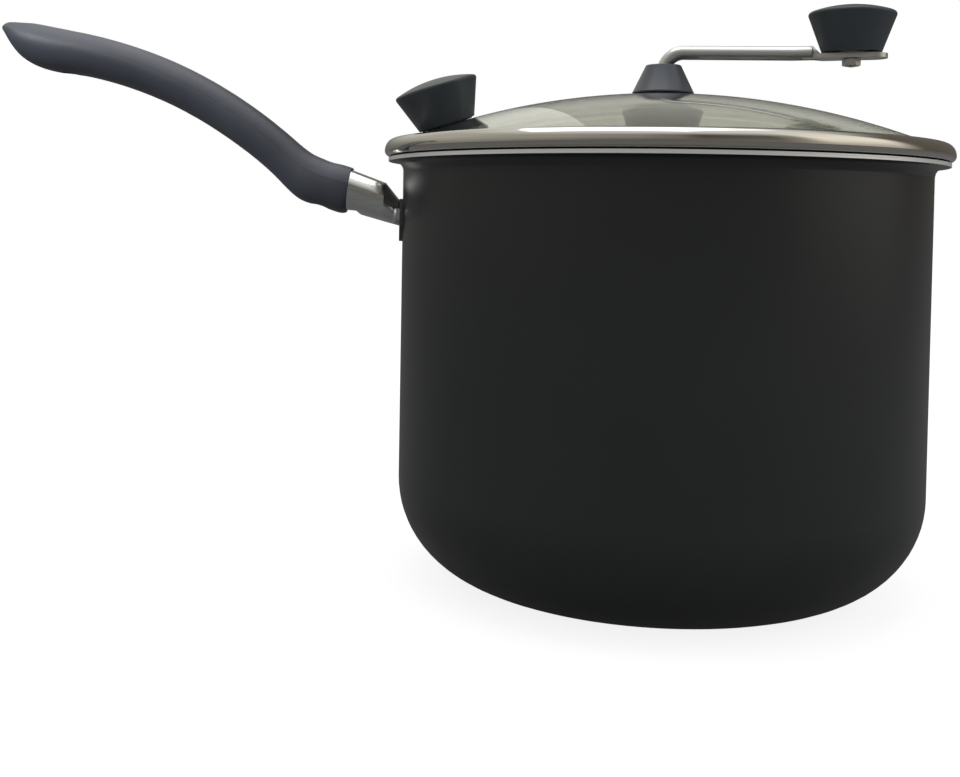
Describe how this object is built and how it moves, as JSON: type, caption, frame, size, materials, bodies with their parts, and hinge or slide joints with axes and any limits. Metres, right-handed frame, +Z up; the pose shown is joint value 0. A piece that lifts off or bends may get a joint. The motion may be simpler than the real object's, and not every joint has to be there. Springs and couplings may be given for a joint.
{
  "type": "stovetop popcorn popper",
  "caption": "Deep drawn pot with a curved side handle, and a domed glass lid whose hand crank turns a wire stirrer just above the floor.",
  "frame": {"origin": "middle of the pot's flat base", "axes": "+Z up along the pot's and the crank's axis, the side handle points along -X"},
  "size_m": [0.4352, 0.2572, 0.2615],
  "materials": {
    "pot_coating": "dark semi-matte coating on drawn aluminium",
    "bracket_steel": "dark coated steel plate",
    "rivet_aluminium": "satin",
    "ferrule_steel": "polished pressed steel",
    "grip_plastic": "matte phenolic",
    "knob_plastic": "matte phenolic",
    "hub_plastic": "matte phenolic",
    "lid_glass": "clear tempered",
    "band_steel": "polished stainless",
    "rod_steel": "bright plated bar",
    "stirrer_steel": "bright stainless wire",
    "fastener_steel": "zinc plated",
    "silicone": "matte"
  },
  "bodies": {
    "pot": {"pot_body": "pot_coating", "bracket_plate": "bracket_steel", "bracket_rivets": "rivet_aluminium", "handle_ferrule": "ferrule_steel", "handle_grip": "grip_plastic", "handle_screw": "fastener_steel"},
    "lid": {"lid_glass": "lid_glass", "lid_band": "band_steel", "hub_cone": "hub_plastic", "hub_gasket_upper": "silicone", "hub_gasket_lower": "silicone", "hub_washer": "fastener_steel", "hub_nut": "fastener_steel", "side_knob": "knob_plastic", "side_knob_gasket": "silicone", "side_knob_washer": "fastener_steel", "side_knob_screw": "fastener_steel"},
    "crank": {"crank_rod": "rod_steel", "thrust_washer": "fastener_steel", "retaining_clip": "fastener_steel", "stirrer_hub": "stirrer_steel", "stirrer_arms": "stirrer_steel", "stirrer_screw": "fastener_steel"},
    "crank_knob": {"crank_knob": "knob_plastic", "crank_knob_stud": "fastener_steel", "crank_knob_washer": "fastener_steel", "crank_knob_nut": "fastener_steel"}
  },
  "joints": [
    {"name": "lid_lift", "type": "slide", "parent": "pot", "child": "lid", "axis": [0, 0, 1], "range_m": [0, 0.2]},
    {"name": "crank_turn", "type": "hinge", "parent": "lid", "child": "crank", "pos_m": [0, 0, 0.2], "axis": [0, 0, 1], "continuous": true},
    {"name": "crank_knob_spin", "type": "hinge", "parent": "crank", "child": "crank_knob", "pos_m": [0.07923, -0.02728, 0.24], "axis": [0, 0, 1], "continuous": true}
  ]
}
